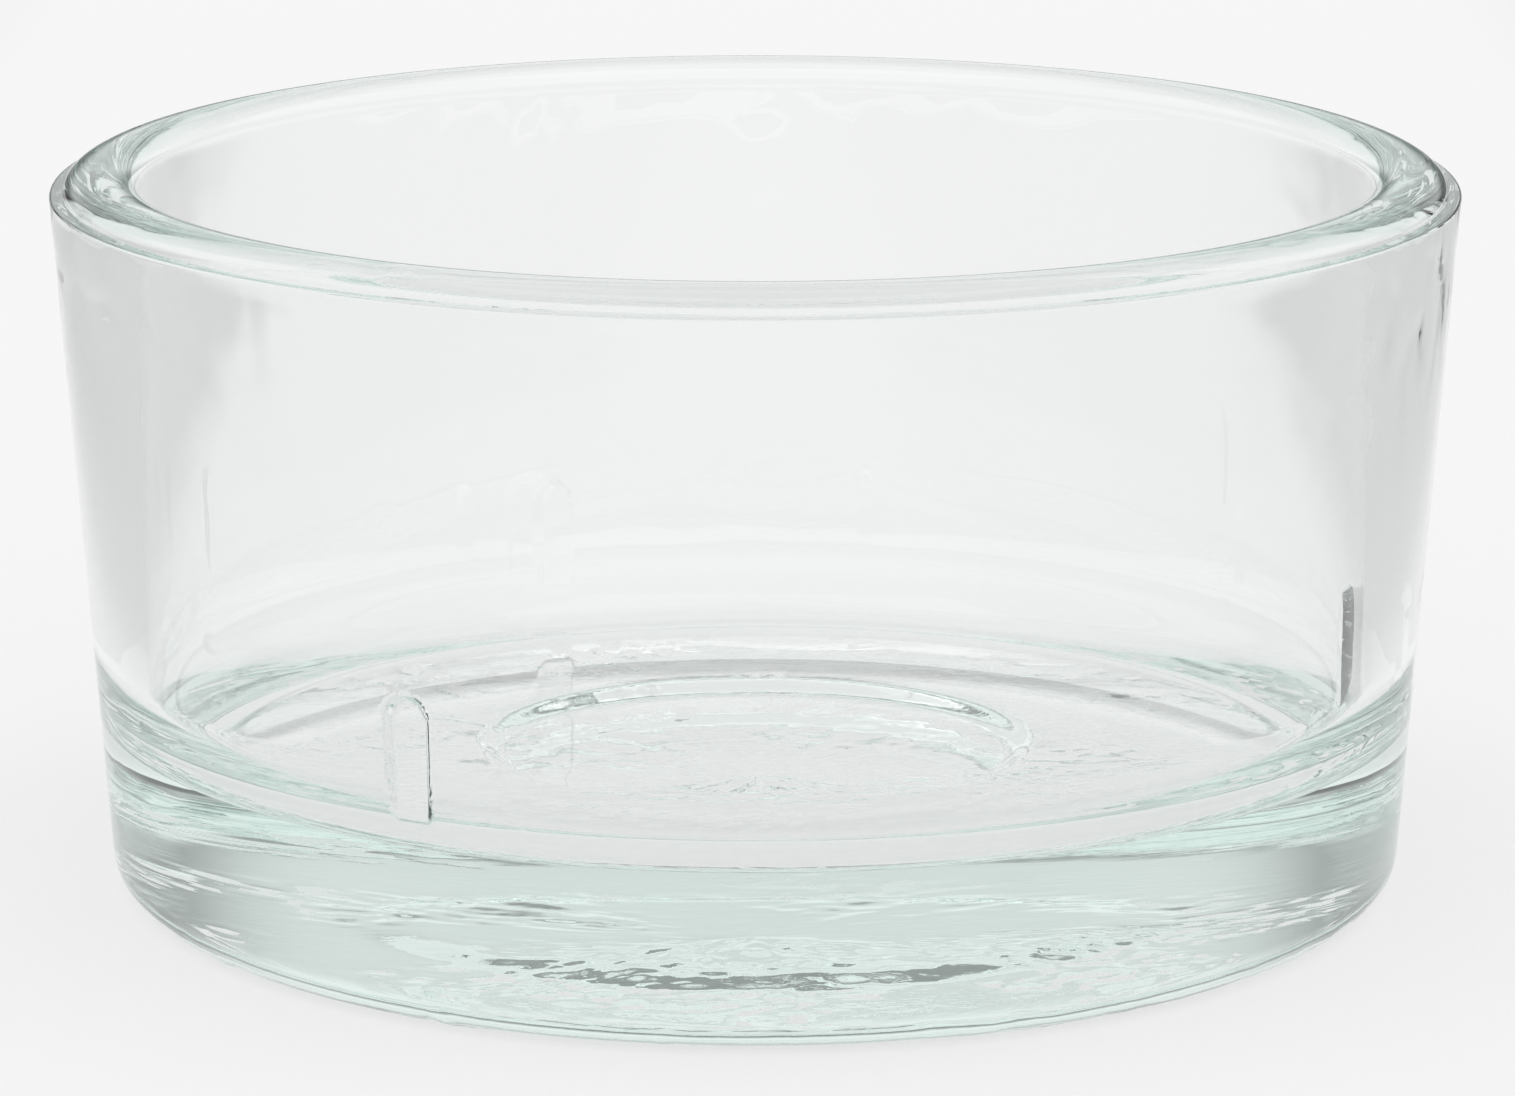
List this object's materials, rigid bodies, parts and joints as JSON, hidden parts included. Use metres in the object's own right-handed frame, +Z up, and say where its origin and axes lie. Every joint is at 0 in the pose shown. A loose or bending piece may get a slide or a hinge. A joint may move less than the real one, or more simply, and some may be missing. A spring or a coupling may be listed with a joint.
{
  "type": "glass dish",
  "caption": "Small round pressed-glass dish with a thick flat base, tapered wall, beaded rim and short centring ribs inside the bottom of the wall.",
  "frame": {"origin": "on the dish's axis, in the plane of the ring that it stands on", "axes": "+Z up along the dish's axis; +X through the first of the three centring ribs"},
  "size_m": [0.05, 0.05, 0.0259],
  "materials": {
    "glass": "clear pressed soda-lime glass with a slight green tint, fire-polished"
  },
  "bodies": {
    "root": {"dish": "glass"}
  },
  "joints": []
}
